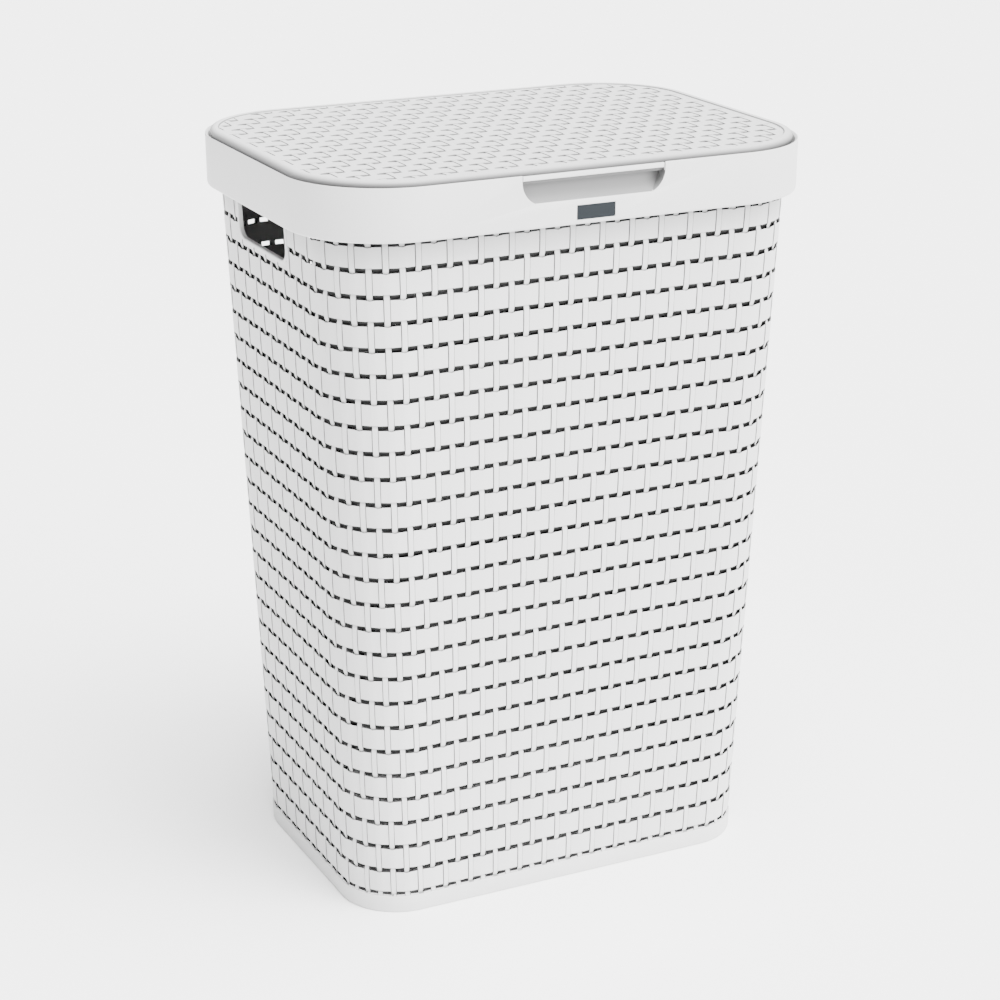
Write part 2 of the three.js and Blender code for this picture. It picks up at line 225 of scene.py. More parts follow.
# The lid's hinge bosses, and in them the lug pockets and the bores for the pins
HINGE_X = 110.0
HINGE_Y = 147.0
HINGE_Z = 588.5
BOSS_HALF = 15.1
BOSS_FRONT = HINGE_Y - 3.6
BOSS_REAR = 148.9
BOSS_BOTTOM = LID_SKIRT_BOTTOM + 0.4
BOSS_TOP = LID_TOP - 1.8
LUG_POCKET_HALF = 8.1
LUG_POCKET_FRONT = HINGE_Y - 4.1
LUG_POCKET_REAR = 151.0
LUG_POCKET_BOTTOM = LID_SKIRT_BOTTOM - 1.0
LUG_POCKET_TOP = HINGE_Z + 3.4
BORE_RADIUS = 1.8
BORE_STEPS = 24
BORE_OVERSHOOT = 0.2

# The grip flap in front of the lid's skirt, with its web's underside and top over the flap's bottom
FLAP_BOTTOM = 586.7
FLAP_TOP = 590.3
FLAP_THICKNESS = 2.2
FLAP_SIDE_GAP = 0.9
FLAP_SET_BACK = 0.4
FLAP_WEB = (0.8, 2.2)
FLAP_WEB_END = 0.3
FLAP_SMOOTH_ANGLE = 25.0


# ---------------------------------------------------------------- outlines and meshes


def make_object(name, points, faces, smooth_angle):
    """A mesh object from points in millimetres and faces, smooth except along its sharp edges."""
    mesh = bpy.data.meshes.new(name)
    mesh.from_pydata([(x * MM, y * MM, z * MM) for x, y, z in points], [], faces)
    mesh.validate()
    mesh.update()
    obj = bpy.data.objects.new(name, mesh)
    bpy.context.scene.collection.objects.link(obj)
    smooth(obj, smooth_angle)
    return obj


def smooth(obj, angle=SMOOTH_ANGLE):
    """Smooth shading, with every edge sharper than the angle kept crisp."""
    obj.data.shade_smooth()
    obj.data.set_sharp_from_angle(angle=math.radians(angle))


def outline_length(half_x, half_y, radius):
    return 4 * (half_x + half_y - 2 * radius) + 2 * math.pi * radius


def outline_point(distance, half_x, half_y, radius):
    """A rounded rectangle's place and outward direction, some way from its front's middle towards +X."""
    arc = math.pi / 2 * radius
    runs = (half_y - radius, half_x - radius)
    total = outline_length(half_x, half_y, radius)
    left = (distance + runs[1]) % total
    for side in range(4):
        run = 2 * (runs[1] if side % 2 == 0 else runs[0])
        heading = side * math.pi / 2
        along = Vector((math.cos(heading), math.sin(heading)))
        out = Vector((along.y, -along.x))
        across = half_y if side % 2 == 0 else half_x
        if left <= run:
            return out * across + along * (left - run / 2), out
        left -= run
        if left <= arc:
            turn = heading + left / radius
            corner = out * (across - radius) + along * (run / 2)
            bent = Vector((math.sin(turn), -math.cos(turn)))
            return corner + bent * radius, bent
        left -= arc
    return Vector((-runs[1], -half_y)), Vector((0.0, -1.0))


def ring(half, radius, outward, z):
    """Points of a rounded rectangle grown outward by some distance, anticlockwise from above."""
    half_x = half[0] + outward
    half_y = half[1] + outward
    radius = radius + outward
    points = []
    for corner in range(4):
        side_x = 1 if corner in (0, 3) else -1
        side_y = 1 if corner < 2 else -1
        for step in range(CORNER_STEPS + 1):
            angle = (corner + step / CORNER_STEPS) * math.pi / 2
            points.append(
                (
                    side_x * (half_x - radius) + radius * math.cos(angle),
                    side_y * (half_y - radius) + radius * math.sin(angle),
                    z,
                )
            )
    return points


def wall_ring(z, outward):
    """The woven wall's outline at height z, grown outward by some distance."""
    half_x, half_y, radius = wall_size(z)
    return ring((half_x, half_y), radius, outward, z)


def skin(rings, closed):
    """Points and faces through rings in order. A closed skin joins up its ends, and others are capped."""
    count = len(rings[0])
    points = [p for r in rings for p in r]
    faces = []
    spans = len(rings) if closed else len(rings) - 1
    for span in range(spans):
        here = span * count
        there = ((span + 1) % len(rings)) * count
        for i in range(count):
            j = (i + 1) % count
            faces.append((here + i, here + j, there + j, there + i))
    if not closed:
        faces.append(tuple(range(count - 1, -1, -1)))
        last = (len(rings) - 1) * count
        faces.append(tuple(last + i for i in range(count)))
    return points, faces


def prism(outline, low, high, place):
    """A closed prism over an outline of pairs. place(a, b, t) gives the point at height t over (a, b)."""
    count = len(outline)
    points = [place(a, b, low) for a, b in outline] + [place(a, b, high) for a, b in outline]
    faces = [tuple(range(count - 1, -1, -1)), tuple(range(count, 2 * count))]
    for i in range(count):
        j = (i + 1) % count
        faces.append((i, j, count + j, count + i))
    return points, faces


def rounded_outline(low, high, radius, steps):
    """A rounded rectangle of pairs, anticlockwise."""
    pairs = []
    for corner in range(4):
        centre_a = high[0] - radius if corner in (0, 3) else low[0] + radius
        centre_b = high[1] - radius if corner < 2 else low[1] + radius
        for step in range(steps + 1):
            angle = (corner + step / steps) * math.pi / 2
            pairs.append((centre_a + radius * math.cos(angle), centre_b + radius * math.sin(angle)))
    return pairs


def depth_inside(x, y, half_x, half_y, radius):
    """How far inside a rounded rectangle a place is."""
    dx = abs(x) - (half_x - radius)
    dy = abs(y) - (half_y - radius)
    if dx > 0 and dy > 0:
        return radius - math.hypot(dx, dy)
    return radius - max(dx, dy)


def outward_direction(x, y, half_x, half_y, radius):
    """Which way a rounded rectangle faces near a place."""
    dx = max(0.0, abs(x) - (half_x - radius))
    dy = max(0.0, abs(y) - (half_y - radius))
    return Vector((math.copysign(dx, x), math.copysign(dy, y), 0)).normalized()


def soft_step(low, high, value):
    """A smooth rise from 0 at the low value to 1 at the high one."""
    t = min(1.0, max(0.0, (value - low) / (high - low)))
    return t * t * (3 - 2 * t)


def fix_normals(obj):
    """Turns every face outward."""
    work = bmesh.new()
    work.from_mesh(obj.data)
    bmesh.ops.recalc_face_normals(work, faces=work.faces)
    work.to_mesh(obj.data)
    work.free()


def solid(name, shape, smooth_angle=SMOOTH_ANGLE):
    """A closed object from its (points, faces), with its faces turned outward."""
    points, faces = shape
    obj = make_object(name, points, faces, smooth_angle)
    fix_normals(obj)
    return obj


def sweep(name, half, radius, profile, closed):
    """A solid whose profile of (outward, z) pairs runs round a rounded rectangle."""
    return solid(name, skin([ring(half, radius, outward, z) for outward, z in profile], closed))


def box_object(name, low, high):
    """An upright box between its lowest and its highest corner."""
    outline = ((low[0], low[1]), (high[0], low[1]), (high[0], high[1]), (low[0], high[1]))
    return solid(name, prism(outline, low[2], high[2], lambda x, y, z: (x, y, z)))


def combine(obj, tool, operation):
    """Applies a boolean with the tool to the object, then removes the tool."""
    fix_normals(tool)
    modifier = obj.modifiers.new("cut", "BOOLEAN")
    modifier.operation = operation
    modifier.solver = "MANIFOLD"
    modifier.object = tool
    bpy.context.view_layer.update()
    graph = bpy.context.evaluated_depsgraph_get()
    mesh = bpy.data.meshes.new_from_object(obj.evaluated_get(graph))
    obj.modifiers.clear()
    obj.data = mesh
    bpy.data.objects.remove(tool)
    smooth(obj)


# ---------------------------------------------------------------- the woven wall


def wall_size(z):
    """Half sizes and corner radius of the wall at height z."""
    grown = WALL_DRAFT * z
    return WALL_HALF[0] + grown, WALL_HALF[1] + grown, WALL_RADIUS + WALL_RADIUS_GROWTH * z


def wall_point(column, z, outward):
    """A point of the wall: column counts stakes round the wall from the front's middle."""
    size = wall_size(z)
    place, out = outline_point(column / COLUMNS * outline_length(*size), *size)
    return place.x + out.x * outward, place.y + out.y * outward, z


def stake_is_over(column, band):
    return (column + band) % 2 == 0


def row_middle(row):
    """Height of a row of slots. The rows sit a little closer together towards the top."""
    return FIRST_ROW + ROW_PITCH * row - ROW_TIGHTENING * row * row


def slot_edges(row):
    """Lower and upper edge of a row of slots on the wall's outside."""
    middle = row_middle(row)
    raised = LOWEST_SLOT_RAISE if row == 0 else 0.0
    return middle - SLOT_HEIGHT / 2 + raised, middle + SLOT_HEIGHT / 2


def inner_slot_edges(row):
    """The same on the inside. The slots slope down inwards, and the lowest row's are shallow."""
    low, high = slot_edges(row)
    if row == 0:
        return WALL_BOTTOM + LOWEST_SLOT_SILL, low + LOWEST_SLOT_HEAD
    return low - SLOT_DROP, high - SLOT_DROP


def shift_at_open_slot(column, row):
    """How far a slot's inner edges lie above the rest of their row: level slots face the left hand hole."""
    if row not in OPEN_ROWS:
        return 0.0
    x, y, _ = wall_point(column + FIRST_STAKE + 0.5, row_middle(row), 0.0)
    return SLOT_DROP if x < OPEN_TO_X and y > 0 else 0.0


# A stake's places across, in column pitches from its middle: (place, kind)
STAKE_PROFILE = (
    (-STAKE_HALF, "cell"),
    (-STAKE_HALF + LEFT_GROOVE / 2, "groove"),
    (-STAKE_HALF + LEFT_GROOVE, "strip"),
    (0.0, "strip"),
    (STAKE_HALF - RIGHT_GROOVE, "strip"),
    (STAKE_HALF - RIGHT_GROOVE / 2, "groove"),
    (STAKE_HALF, "cell"),
)
OUTER_COUNT = len(STAKE_PROFILE)

# The same on the inside, where the slots are wider
INNER_REACH = STAKE_HALF - SLOT_FLARE / STAKE_PITCH
INNER_PLACES = (-INNER_REACH, 0.0, INNER_REACH)
INNER_COUNT = len(INNER_PLACES)


def surface_height(column, band, u, v, kind, at_slots):
    """How far the wall stands out, u columns from a stake's middle and v rows from the middle of a band."""
    if not stake_is_over(column, band):
        if at_slots and kind != "cell":
            return -GROOVE_DEPTH
        return RELIEF * math.cos(math.pi * u)
    if kind == "cell":
        return -RELIEF * math.cos(math.pi * u)
    if kind == "groove":
        return -GROOVE_DEPTH
    return RELIEF * math.cos(math.pi * v)


def outer_levels(band):
    """Heights across a band from below, each with True where it borders a row of slots."""
    low = slot_edges(band)[1] if band >= 0 else WALL_BOTTOM
    high = slot_edges(band + 1)[0] if band < ROWS - 1 else FLANGE_UNDERSIDE
    if band == -1:
        return [(low, False), (high, True)]
    levels = [(low, True), (low + SLOT_STEP, False), ((low + high) / 2, False)]
    if band == ROWS - 1:
        return levels + [(high, False)]
    return levels + [(high - SLOT_STEP, False), (high, True)]


def inner_levels(band):
    """Heights across a band on the inside."""
    low = inner_slot_edges(band)[1] if band >= 0 else WALL_BOTTOM
    high = inner_slot_edges(band + 1)[0] if band < ROWS - 1 else WALL_TOP
    if band == -1:
        return [low, high]
    return [low, (low + high) / 2, high]


def outer_rings(points):
    """Adds the outside's points and returns (band, indices) from the foot up."""
    rings = []
    for band in range(-1, ROWS):
        middle = (row_middle(band) + row_middle(band + 1)) / 2
        levels = outer_levels(band)
        for index, (z, at_slots) in enumerate(levels):
            v = (z - middle) / (row_middle(band + 1) - row_middle(band))
            flat = band == ROWS - 1 and index == len(levels) - 1
            upper = index >= len(levels) - 2 and 0 <= band < ROWS - 1
            indices = []
            for column in range(COLUMNS):
                sags = upper and not stake_is_over(column, band)
                for u, kind in STAKE_PROFILE:
                    height = 0.0 if flat else surface_height(column, band, u, v, kind, at_slots)
                    dip = CELL_SAG if sags and u == 0 else 0.0
                    indices.append(len(points))
                    points.append(wall_point(column + FIRST_STAKE + u, z - dip, height))
            rings.append((band, indices))
    return rings


def inner_rings(points):
    """Adds the inside's points and returns (band, indices) from the foot up."""
    rings = []
    for band in range(-1, ROWS):
        middle = (row_middle(band) + row_middle(band + 1)) / 2
        waves = 0 <= band < ROWS - 1
        levels = inner_levels(band)
        for index, z in enumerate(levels):
            v = (z - middle) / (row_middle(band + 1) - row_middle(band))
            row = None
            if index == 0:
                row = band
            elif index == len(levels) - 1:
                row = band + 1
            indices = []
            for column in range(COLUMNS):
                sign = 1 if stake_is_over(column, band) else -1
                for u in INNER_PLACES:
                    wave = sign * INNER_RELIEF * math.cos(math.pi * u) * math.cos(math.pi * v)
                    beside = column - 1 if u < 0 else column
                    lift = shift_at_open_slot(beside, row) if u != 0 else 0.0
                    indices.append(len(points))
                    out = -WALL_THICKNESS + (wave if waves else 0.0)
                    points.append(wall_point(column + FIRST_STAKE + u, z + lift, out))
            rings.append((band, indices))
    return rings


def bridge(faces, rings, a_column, inward):
    """Faces between each two rings, left open between stakes where the rings meet across a row of slots.

    a_column is the number of points that a ring has for each column.
    """
    for (band_a, row_a), (band_b, row_b) in zip(rings, rings[1:]):
        count = len(row_a)
        for i in range(count):
            if band_a != band_b and i % a_column == a_column - 1:
                continue
            j = (i + 1) % count
            face = (row_a[i], row_a[j], row_b[j], row_b[i])
            faces.append(tuple(reversed(face)) if inward else face)


def slot_rows(rings):
    """The ring below and the ring above each row of slots."""
    return [(a, b) for (band_a, a), (band_b, b) in zip(rings, rings[1:]) if band_a != band_b]


def slot_walls(faces, outer, inner):
    """Faces from the edge of each slot on the outside to its edge on the inside."""
    for (low_out, high_out), (low_in, high_in) in zip(slot_rows(outer), slot_rows(inner)):
        for column in range(COLUMNS):
            left_out = (column + 1) * OUTER_COUNT - 1
            right_out = (left_out + 1) % len(low_out)
            left_in = (column + 1) * INNER_COUNT - 1
            right_in = (left_in + 1) % len(low_in)
            mouth = (low_out[left_out], low_out[right_out], high_out[right_out], high_out[left_out])
            back = (low_in[left_in], low_in[right_in], high_in[right_in], high_in[left_in])
            for corner in range(4):
                after = (corner + 1) % 4
                faces.append((mouth[corner], mouth[after], back[after], back[corner]))


def flange_rings(points):
    """Adds the points of the flange at the wall's top, and returns its lower and upper (band, indices)."""
    rings = []
    for z in (FLANGE_UNDERSIDE, WALL_TOP):
        indices = []
        for column in range(COLUMNS):
            for u, _ in STAKE_PROFILE:
                x, y, _ = wall_point(column + FIRST_STAKE + u, FLANGE_UNDERSIDE, FLANGE_REACH)
                indices.append(len(points))
                points.append((x, y, z))
        rings.append((ROWS, indices))
    return rings


def join_rings(faces, outer, inner, flip=False):
    """Fills the flat edge between a ring of the outside and a ring of the inside, which has fewer points."""
    middle_outer = OUTER_COUNT // 2
    middle_inner = INNER_COUNT // 2
    for column in range(COLUMNS):
        o = column * OUTER_COUNT
        i = column * INNER_COUNT
        after_o = (o + OUTER_COUNT) % len(outer)
        after_i = (i + INNER_COUNT) % len(inner)
        left = [outer[o + k] for k in range(middle_outer + 1)]
        left += [inner[i + k] for k in range(middle_inner, -1, -1)]
        right = [outer[o + k] for k in range(middle_outer, OUTER_COUNT)]
        right += [inner[i + k] for k in range(INNER_COUNT - 1, middle_inner - 1, -1)]
        gap = [outer[o + OUTER_COUNT - 1], outer[after_o], inner[after_i], inner[i + INNER_COUNT - 1]]
        for face in (left, right, gap):
            faces.append(tuple(reversed(face)) if flip else tuple(face))


def weave_wall():
    """The moulded wall: wefts go over and under the stakes, and every gap between them is an open slot."""
    points = []
    faces = []
    outer = outer_rings(points)
    inner = inner_rings(points)
    bridge(faces, outer, OUTER_COUNT, False)
    bridge(faces, inner, INNER_COUNT, True)
    slot_walls(faces, outer, inner)
    flange = flange_rings(points)
    top = (ROWS, outer[-1][1])
    bridge(faces, [top] + flange, OUTER_COUNT, False)
    join_rings(faces, flange[1][1], inner[-1][1])
    join_rings(faces, outer[0][1], inner[0][1], flip=True)
    return solid("weave_wall", (points, faces))


# ---------------------------------------------------------------- hand holes


def short_side_place(side):
    """Places a pair (y, height over the hole's lower edge) and a distance out from the short side's wall."""
    lean = math.atan(WALL_DRAFT)
    foot = WALL_HALF[0] + WALL_DRAFT * HOLE_BOTTOM

    def place(y, up, out):
        x = foot + up * math.sin(lean) + out * math.cos(lean)
        z = HOLE_BOTTOM + up * math.cos(lean) - out * math.sin(lean)
        return side * x, y, z

    return place


def hole_outline(grown, steps):
    """A hand hole's outline, grown outward by some distance."""
    return rounded_outline(
        (HOLE_Y - HOLE_HALF_WIDTH - grown, -grown),
        (HOLE_Y + HOLE_HALF_WIDTH + grown, HOLE_HEIGHT + grown),
        HOLE_CORNER + grown,
        steps,
    )


def cut_hand_holes(wall):
    """Cuts the holes through the wall, a little smaller than their borders' outsides."""
    outline = hole_outline(HOLE_BORDER - HOLE_BORDER_OVERLAP, 12)
    for side in (-1, 1):
        shape = prism(outline, -2 * TOOL_MARGIN, 2 * TOOL_MARGIN, short_side_place(side))
        combine(wall, solid("hole_tool", shape), "DIFFERENCE")


def cut_scoop_notch(wall):
    """Takes the wall's flange away where the finger scoop's back comes down in front of the wall."""
    front = -COLLAR_HALF[1]
    half = SCOOP_HALF_WIDTH + SCOOP_BACKING_SIDE + SCOOP_NOTCH_GAP
    bottom = SCOOP_BOTTOM - SCOOP_BACKING_BELOW - SCOOP_NOTCH_GAP
    rear = front + SCOOP_DEEPEST + SCOOP_BACKING + SCOOP_NOTCH_GAP_BEHIND
    notch = box_object("scoop_notch", (SCOOP_X - half, front, bottom), (SCOOP_X + half, rear, LEDGE_TOP))
    combine(wall, notch, "DIFFERENCE")


def hand_hole_rim(side, name):
    """The smooth border round a hand hole, rounded on its outside edges."""
    place = short_side_place(side)
    # (distance out from the hole's edge, distance out from the wall)
    profile = (
        (0.0, -WALL_THICKNESS),
        (0.0, 0.2),
        (0.25, 0.7),
        (0.8, HOLE_BORDER_PROUD),
        (HOLE_BORDER - 0.8, HOLE_BORDER_PROUD),
        (HOLE_BORDER - 0.2, 0.75),
        (HOLE_BORDER, 0.3),
        (HOLE_BORDER, -WALL_THICKNESS),
    )
    rings = [[place(y, up, out) for y, up in hole_outline(grown, 10)] for grown, out in profile]
    return solid(name, skin(rings, True))


# ---------------------------------------------------------------- plinth and floor


def plinth_tray():
    """The floor and the smooth band at the foot of the wall."""
    # (height, distance out from the wall), from the underside's middle out and round to the floor inside
    outline = [
        (4.0, PLINTH_PROUD - 6.0),
        (0.4, PLINTH_PROUD - 5.8),
        (0.0, PLINTH_PROUD - 5.4),
        (0.0, PLINTH_PROUD - 1.2),
        (0.35, PLINTH_PROUD - 0.35),
        (1.2, PLINTH_PROUD),
        (PLINTH_TOP - 0.9, PLINTH_PROUD),
        (PLINTH_TOP - 0.25, PLINTH_PROUD - 0.25),
        (PLINTH_TOP, PLINTH_PROUD - 0.9),
        (PLINTH_TOP, -WALL_THICKNESS),
        (9.0, -WALL_THICKNESS),
        (7.2, -WALL_THICKNESS - 0.8),
        (6.5, -WALL_THICKNESS - 2.6),
    ]
    return solid("plinth_tray", skin([wall_ring(z, outward) for z, outward in outline], False))


# ---------------------------------------------------------------- collar


def collar_band():
    """The collar with its ledge and skirt, the finger scoop and the low rear wall below the lid's swing."""
    profile = []
    for step in range(COLLAR_FOOT_STEPS + 1):
        angle = step / COLLAR_FOOT_STEPS * math.pi / 2
        inward = COLLAR_FOOT_INWARD * (1 - math.sin(angle)) + COLLAR_DRAFT
        profile.append((-inward, COLLAR_BOTTOM + COLLAR_FOOT_HEIGHT * (1 - math.cos(angle))))
    ledge_underside = LEDGE_TOP - LEDGE_THICKNESS
    profile += [
        (0.0, COLLAR_TOP - 0.6),
        (-0.12, COLLAR_TOP - 0.2),
        (-0.35, COLLAR_TOP),
        (-0.6, COLLAR_TOP - 0.1),
        (-COLLAR_WALL + 0.2, COLLAR_TOP - LIP_FALL),
        (-COLLAR_WALL, COLLAR_TOP - LIP_FALL - 0.3),
        (-COLLAR_WALL, LEDGE_TOP),
        (-LEDGE_INSET, LEDGE_TOP),
        (-LEDGE_INSET, SKIRT_BOTTOM),
        (-LEDGE_INSET + SKIRT_THICKNESS, SKIRT_BOTTOM),
        (-LEDGE_INSET + SKIRT_THICKNESS, ledge_underside),
        (-COLLAR_WALL - COLLAR_DRAFT, ledge_underside),
        (-COLLAR_WALL - COLLAR_DRAFT, COLLAR_BOTTOM),
    ]
    collar = sweep("collar_band", COLLAR_HALF, COLLAR_RADIUS, profile, True)
    combine(collar, scoop_backing(), "UNION")
    combine(collar, scoop_tool(), "DIFFERENCE")
    combine(collar, rear_cut_tool(), "DIFFERENCE")
    combine(collar, channel_tool(), "DIFFERENCE")
    combine(collar, label_recess_tool(), "DIFFERENCE")
    return collar


def scoop_backing():
    """The block behind the collar's face that the finger scoop is hollowed from."""
    front = -COLLAR_HALF[1]
    half = SCOOP_HALF_WIDTH + SCOOP_BACKING_SIDE
    # Its top stays just below the ledge's, so that no two faces coincide.
    below_ledge = 0.01
    return box_object(
        "backing",
        (SCOOP_X - half, front + COLLAR_WALL / 2, SCOOP_BOTTOM - SCOOP_BACKING_BELOW),
        (SCOOP_X + half, front + SCOOP_DEEPEST + SCOOP_BACKING, LEDGE_TOP - below_ledge),
    )


def scoop_tool():
    """The hollow for the fingers: U-shaped from the front, round in section, with a soft lower lip."""
    face = -COLLAR_HALF[1]
    ahead = SCOOP_RADIUS - SCOOP_DEEPEST
    centre_y = face - ahead
    centre_z = SCOOP_BOTTOM + math.sqrt(SCOOP_RADIUS**2 - ahead**2)
    lip_y = face + SCOOP_LIP
    lip_z = centre_z - math.sqrt((SCOOP_RADIUS + SCOOP_LIP) ** 2 - (SCOOP_LIP + ahead) ** 2)
    meet = math.atan2(centre_z - lip_z, -(lip_y - centre_y))
    start = meet - math.pi
    top = COLLAR_TOP + TOOL_MARGIN
    profile = [(face - TOOL_MARGIN, top), (face - TOOL_MARGIN, lip_z)]
    for step in range(SCOOP_LIP_STEPS + 1):
        angle = math.pi + start * step / SCOOP_LIP_STEPS
        profile.append((lip_y + SCOOP_LIP * math.cos(angle), lip_z + SCOOP_LIP * math.sin(angle)))
    for step in range(1, SCOOP_HOLLOW_STEPS + 1):
        angle = start * (1 - step / SCOOP_HOLLOW_STEPS)
        profile.append((centre_y + SCOOP_RADIUS * math.cos(angle), centre_z + SCOOP_RADIUS * math.sin(angle)))
    profile.append((centre_y + SCOOP_RADIUS, top))
    half = SCOOP_HALF_WIDTH + TOOL_MARGIN / 2
    tool = solid("scoop_tool", prism(profile, SCOOP_X - half, SCOOP_X + half, lambda y, z, x: (x, y, z)))

    # From the front the hollow is a U, so this outline's upper corners lie above the tool.
    below_lip = 0.4
    outline = rounded_outline(
        (SCOOP_X - SCOOP_HALF_WIDTH, lip_z - below_lip),
        (SCOOP_X + SCOOP_HALF_WIDTH, top + 2 * SCOOP_CORNER),
        SCOOP_CORNER,
        16,
    )
    shape = prism(outline, face - SCOOP_TOOL_AHEAD, face + SCOOP_TOOL_DEPTH, lambda x, z, y: (x, y, z))
    combine(tool, solid("scoop_outline", shape), "INTERSECT")
    return tool


def rear_cut_tool():
    """Everything over the low stretch of the collar's rear wall, which the lid's edge swings past."""
    rear = COLLAR_HALF[1]
    outline = rounded_outline(
        (-REAR_CUT_HALF, REAR_CUT_BOTTOM),
        (REAR_CUT_HALF, COLLAR_TOP + REAR_CUT_CORNER + TOOL_MARGIN),
        REAR_CUT_CORNER,
        6,
    )
    shape = prism(outline, rear - REAR_CUT_DEPTH, rear + TOOL_MARGIN, lambda x, z, y: (x, y, z))
    return solid("rear_tool", shape)


def channel_tool():
    """The shallow channel along the rear of the ledge, for the lid's edge when the lid is open."""
    return box_object(
        "channel",
        (-REAR_CUT_HALF, CHANNEL_FRONT, CHANNEL_BOTTOM),
        (REAR_CUT_HALF, COLLAR_HALF[1] - COLLAR_WALL, LEDGE_TOP + LEDGE_THICKNESS),
    )


def label_recess_tool():
    """The recess for the label plate, with a small gap round it."""
    low, high = label_box()
    return box_object(
        "label_tool",
        (low[0] - LABEL_GAP, -COLLAR_HALF[1] - TOOL_MARGIN, low[2] - LABEL_GAP),
        [value + LABEL_GAP for value in high],
    )


def label_box():
    """The label's lowest and highest corner, in millimetres."""
    low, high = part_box("label_plate")
    return [value / MM for value in low], [value / MM for value in high]


# ---------------------------------------------------------------- lid


def lid_shape():
    """The lid without its relief: skirt, rolled edge and flat top, hollow below."""
    underside = LID_TOP - LID_PANEL
    profile = [
        (-LID_SKIRT - 3, underside),
        (-LID_SKIRT - 0.8, underside - 0.6),
        (-LID_SKIRT, underside - 2.4),
        (-LID_SKIRT, LID_SKIRT_BOTTOM),
        (-0.3, LID_SKIRT_BOTTOM),
        (0, LID_SKIRT_BOTTOM + 0.4),
    ]
    for step in range(LID_ROLL_STEPS + 1):
        angle = step / LID_ROLL_STEPS * math.pi / 2
        inward = LID_ROLL * (1 - math.cos(angle))
        profile.append((-inward, LID_TOP - LID_ROLL * (1 - math.sin(angle))))
    return sweep("lid_top", LID_HALF, LID_RADIUS, profile, False)


def lid_rim():
    """The rolled edge, its crest a little above the woven panel and its outside turned under."""
    crest_in, crest_z = RIM_CREST
    profile = [(-LID_SKIRT / 2, RIM_ROOT)]
    for step in range(RIM_UNDER_STEPS + 1):
        angle = step / RIM_UNDER_STEPS * math.pi / 2
        profile.append((RIM_REACH * math.sin(angle), RIM_TURN - (RIM_TURN - RIM_ROOT) * math.cos(angle)))
    for step in range(1, RIM_OVER_STEPS + 1):
        angle = step / RIM_OVER_STEPS * math.pi / 2
        inward = (crest_in + RIM_REACH) * (1 - math.cos(angle)) - RIM_REACH
        profile.append((-inward, RIM_TURN + (crest_z - RIM_TURN) * math.sin(angle)))
    for step in range(1, RIM_OVER_STEPS + 1):
        share = step / RIM_OVER_STEPS
        inward = crest_in + (RIM_INNER - crest_in) * share
        fall = (crest_z - LID_TOP + RIM_SINK) * soft_step(RIM_FALL_START, 1, share)
        profile.append((-inward, crest_z - fall))
    profile.append((-RIM_INNER, LID_TOP - LID_PANEL / 2))
    return sweep("rim", LID_HALF, LID_RADIUS, profile, True)


def inset_distance(x, y):
    """How far inside the lid's edge a place is."""
    return depth_inside(x, y, *LID_HALF, LID_RADIUS)


def lid_height(x, y, column, u, band, v, kind, in_row):
    """Height of the lid's surface, with the weave fading out towards its smooth border."""
    fade = soft_step(LID_SMOOTH_TO, LID_WOVEN_FROM, inset_distance(x, y))
    over = (column + band) % 2 == 0
    if kind != "cell" and (over or in_row):
        wave = math.cos(math.pi * v) * (1 if over else -1)
        if kind == "groove" and over and u < 0:
            wave = LID_GROOVE
    else:
        wave = math.cos(math.pi * u) * (-1 if over else 1)
    return LID_TOP + LID_TOOL_GAP - fade * (LID_TOOL_GAP + LID_RELIEF * (LID_FLAT_ABOVE - wave))


def pocket_fits(column, band):
    """Whether the middle of a pocket lies in the woven part of the lid."""
    x = LID_FIRST_COLUMN + LID_COLUMN * (column + 0.5)
    y = LID_FIRST_ROW + LID_ROW * (band + 1)
    return inset_distance(x, y) > LID_WOVEN_FROM


def relief_columns():
    """The relief's places across, as (column, share of a column, kind, pocket depth).

    The pockets deepen to the right.
    """
    pocket_places = (
        (STAKE_HALF + LID_POCKET_SIDE, LID_POCKET_START),
        (0.5, (LID_POCKET_START + LID_POCKET_DEPTH) / 2),
        (1 - STAKE_HALF - LID_POCKET_SIDE, LID_POCKET_DEPTH),
    )
    columns = []
    for column in range(-LID_SIDE_COLUMNS, LID_SIDE_COLUMNS + 1):
        columns += [(column, u, kind, 0.0) for u, kind in STAKE_PROFILE]
        columns += [(column, u, "cell", depth) for u, depth in pocket_places]
    return columns


def relief_rows():
    """The relief's places from front to rear: (band, share of a band from its middle, level)."""
    half_pocket = LID_POCKET_LENGTH / 2 / LID_ROW
    edge = LID_STEP / LID_ROW
    rows = []
    for band in range(LID_FRONT_BAND, LID_REAR_BAND + 1):
        rows += [
            (band, -0.5 + half_pocket, "edge"),
            (band, -0.5 + half_pocket + edge, "band"),
            (band, 0.0, "band"),
            (band, 0.5 - half_pocket - edge, "band"),
            (band, 0.5 - half_pocket, "edge"),
            (band, 0.5 - half_pocket + edge, "pocket"),
            (band, 0.5 + half_pocket - edge, "pocket"),
        ]
    return rows


def block_above(points, wide, tall, top):
    """Faces of the solid from a grid of points up to a flat top. Adds the top's points."""
    faces = []
    for r in range(tall - 1):
        for c in range(wide - 1):
            a = r * wide + c
            faces.append((a, a + 1, a + wide + 1, a + wide))
    edge = list(range(wide))
    edge += [r * wide + wide - 1 for r in range(1, tall)]
    edge += [(tall - 1) * wide + c for c in range(wide - 2, -1, -1)]
    edge += [r * wide for r in range(tall - 2, 0, -1)]
    first = len(points)
    for index in edge:
        x, y, _ = points[index]
        points.append((x, y, top))
    count = len(edge)
    for k in range(count):
        after = (k + 1) % count
        faces.append((edge[after], edge[k], first + k, first + after))
    faces.append(tuple(first + k for k in range(count)))
    return faces


